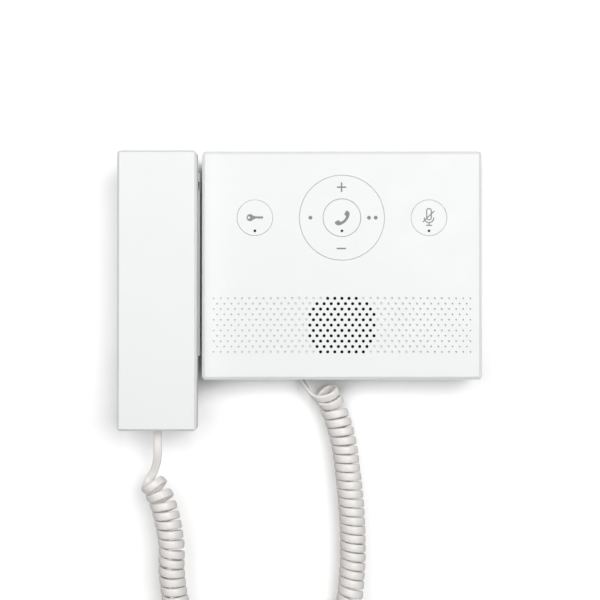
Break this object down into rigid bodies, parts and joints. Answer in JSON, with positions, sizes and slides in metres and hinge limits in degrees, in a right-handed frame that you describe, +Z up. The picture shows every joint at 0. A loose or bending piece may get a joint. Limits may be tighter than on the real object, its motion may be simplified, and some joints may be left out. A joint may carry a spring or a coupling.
{
  "type": "wall intercom station with handset",
  "caption": "Flat wall intercom base with round buttons, a rocker ring and a speaker grille, and a bar handset that hangs in a side cradle on a curly cord.",
  "frame": {"origin": "middle between the wall plate's two box screws, on the wall", "axes": "+X to the right seen from the front, +Y into the wall, +Z up; the front looks along -Y"},
  "size_m": [0.2267, 0.044, 0.3357],
  "materials": {
    "white_abs": "satin",
    "grey_abs": "satin",
    "black_plastic": "satin",
    "circuit_board": "satin",
    "steel": "satin",
    "dark_rubber": "matte",
    "silicone": "matte",
    "led": "gloss",
    "clear_plug": "gloss",
    "cord_sheath": "satin"
  },
  "bodies": {
    "base": {"front_cover": "white_abs", "rear_housing": "white_abs", "cradle": "white_abs", "rocker_pedestal": "grey_abs", "network_socket": "black_plastic", "base_jack": "black_plastic", "hook_switch": "black_plastic", "speaker_cloth": "black_plastic", "main_board": "circuit_board", "wall_plate": "steel", "housing_screws": "steel", "board_screws": "steel", "cradle_screws": "steel", "speaker_screws": "steel", "speaker_basket": "steel", "speaker_magnet": "steel", "panel_microphone": "steel", "hook_spring": "steel", "speaker_gasket": "dark_rubber", "speaker_cone": "dark_rubber", "panel_mic_boot": "dark_rubber", "keypad_mat": "silicone", "status_leds": "led", "base_plug": "clear_plug", "curly_cord": "cord_sheath"},
    "handset": {"handset_front_shell": "white_abs", "handset_rear_shell": "white_abs", "handset_screws": "steel", "earpiece": "steel", "earpiece_gasket": "dark_rubber", "handset_microphone": "steel", "handset_mic_boot": "dark_rubber", "handset_weight": "steel", "handset_board": "circuit_board", "handset_jack": "black_plastic", "handset_plug": "clear_plug"},
    "hook_plunger": {"hook_plunger": "grey_abs"},
    "door_button": {"door_button": "white_abs", "door_light_pipe": "black_plastic"},
    "mute_button": {"mute_button": "white_abs", "mute_light_pipe": "black_plastic"},
    "call_button": {"call_button": "white_abs", "call_light_pipe": "black_plastic"},
    "rocker_gimbal": {"rocker_gimbal": "grey_abs"},
    "rocker_ring": {"rocker_ring": "white_abs"}
  },
  "joints": [
    {"name": "handset_lift", "type": "slide", "parent": "base", "child": "handset", "axis": [0, -0.866, 0.5], "range_m": [0, 0.08]},
    {"name": "hook_plunger_travel", "type": "slide", "parent": "base", "child": "hook_plunger", "axis": [0, -1, 0], "range_m": [0, 0.003], "deforming": ["hook_spring"]},
    {"name": "door_button_press", "type": "slide", "parent": "base", "child": "door_button", "axis": [0, 1, 0], "range_m": [0, 0.0008], "stiffness_N_per_m": 1500, "deforming": ["keypad_mat"]},
    {"name": "mute_button_press", "type": "slide", "parent": "base", "child": "mute_button", "axis": [0, 1, 0], "range_m": [0, 0.0008], "stiffness_N_per_m": 1500, "deforming": ["keypad_mat"]},
    {"name": "call_button_press", "type": "slide", "parent": "base", "child": "call_button", "axis": [0, 1, 0], "range_m": [0, 0.0008], "stiffness_N_per_m": 1500, "deforming": ["keypad_mat"]},
    {"name": "rocker_tilt_plus_minus", "type": "hinge", "parent": "base", "child": "rocker_gimbal", "pos_m": [0, -0.0281, 0.0297], "axis": [1, 0, 0], "range_deg": [-2, 2], "stiffness_Nm_per_rad": 1.2, "deforming": ["keypad_mat"]},
    {"name": "rocker_tilt_left_right", "type": "hinge", "parent": "rocker_gimbal", "child": "rocker_ring", "pos_m": [0, -0.0281, 0.0297], "axis": [0, 0, 1], "range_deg": [-2, 2], "stiffness_Nm_per_rad": 1.2, "deforming": ["keypad_mat"]}
  ],
  "couplings": [
    {"joint": "hook_plunger_travel", "follows": "handset_lift", "ratio": 0.0375}
  ]
}
